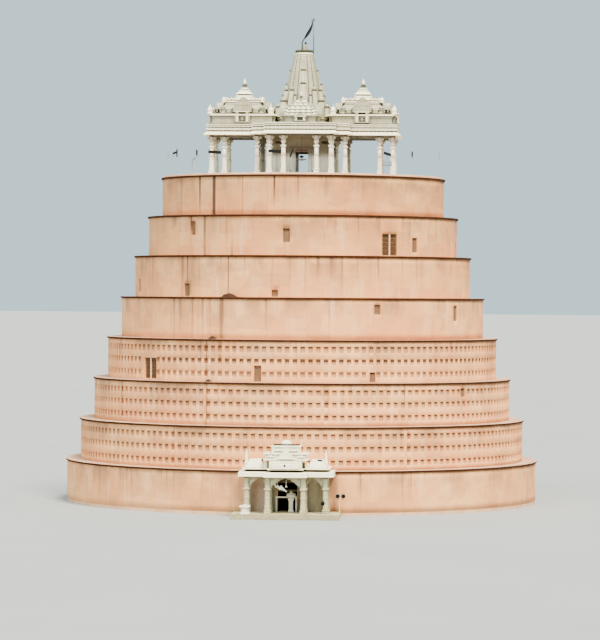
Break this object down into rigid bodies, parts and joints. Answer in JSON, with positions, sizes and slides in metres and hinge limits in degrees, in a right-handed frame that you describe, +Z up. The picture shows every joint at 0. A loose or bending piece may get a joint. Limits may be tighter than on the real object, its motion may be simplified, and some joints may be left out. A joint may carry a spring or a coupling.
{
  "type": "jain temple tower, 1:2 scale model",
  "caption": "Round stepped temple tower with niched rose walls, a pillared marble shrine with a curved spire on its summit terrace, and a pillared entrance porch; 1:2 scale model.",
  "frame": {"origin": "on the tower's axis, on the underside of the ground floor", "axes": "+Z up, -Y towards the entrance porch, +X to the right seen from the porch"},
  "size_m": [24.27, 26.845, 24.885],
  "materials": {
    "rose_stone": "rose-buff stone facing, matt, with dark rain streaks",
    "terrace_stone": "weathered brown-buff coping stone, matt",
    "marble": "carved cream-white marble, honed",
    "dark_metal": "dark painted steel",
    "flag_cloth": "dark woven pennant cloth"
  },
  "bodies": {
    "root": {"ground_floor": "terrace_stone", "tier_1_front_wall": "rose_stone", "tier_1_back_wall": "rose_stone", "terrace_1": "terrace_stone", "tier_2_front_wall": "rose_stone", "tier_2_back_wall": "rose_stone", "terrace_2": "terrace_stone", "tier_3_front_wall": "rose_stone", "tier_3_back_wall": "rose_stone", "terrace_3": "terrace_stone", "tier_4_front_wall": "rose_stone", "tier_4_back_wall": "rose_stone", "terrace_4": "terrace_stone", "tier_5_front_wall": "rose_stone", "tier_5_back_wall": "rose_stone", "terrace_5": "terrace_stone", "tier_6_front_wall": "rose_stone", "tier_6_back_wall": "rose_stone", "terrace_6": "terrace_stone", "tier_7_front_wall": "rose_stone", "tier_7_back_wall": "rose_stone", "terrace_7": "terrace_stone", "tier_8_front_wall": "rose_stone", "tier_8_back_wall": "rose_stone", "terrace_8": "terrace_stone", "kerb_front": "rose_stone", "kerb_back": "rose_stone", "temple_plinth": "marble", "sanctum_walls": "marble", "front_portico": "marble", "back_portico": "marble", "left_arm_columns": "marble", "right_arm_columns": "marble", "temple_eaves": "marble", "temple_cornice": "marble", "left_arm_roof": "marble", "right_arm_roof": "marble", "front_portico_roof": "marble", "back_portico_roof": "marble", "spire": "marble", "spire_crown": "marble", "flag_pole": "dark_metal", "flag": "flag_cloth", "porch_platform": "marble", "porch_front_arch": "marble", "porch_left_arcade": "marble", "porch_right_arcade": "marble", "porch_eaves": "marble", "porch_roof_lower": "marble", "porch_roof_upper": "marble", "door_frame": "marble"}
  },
  "joints": []
}
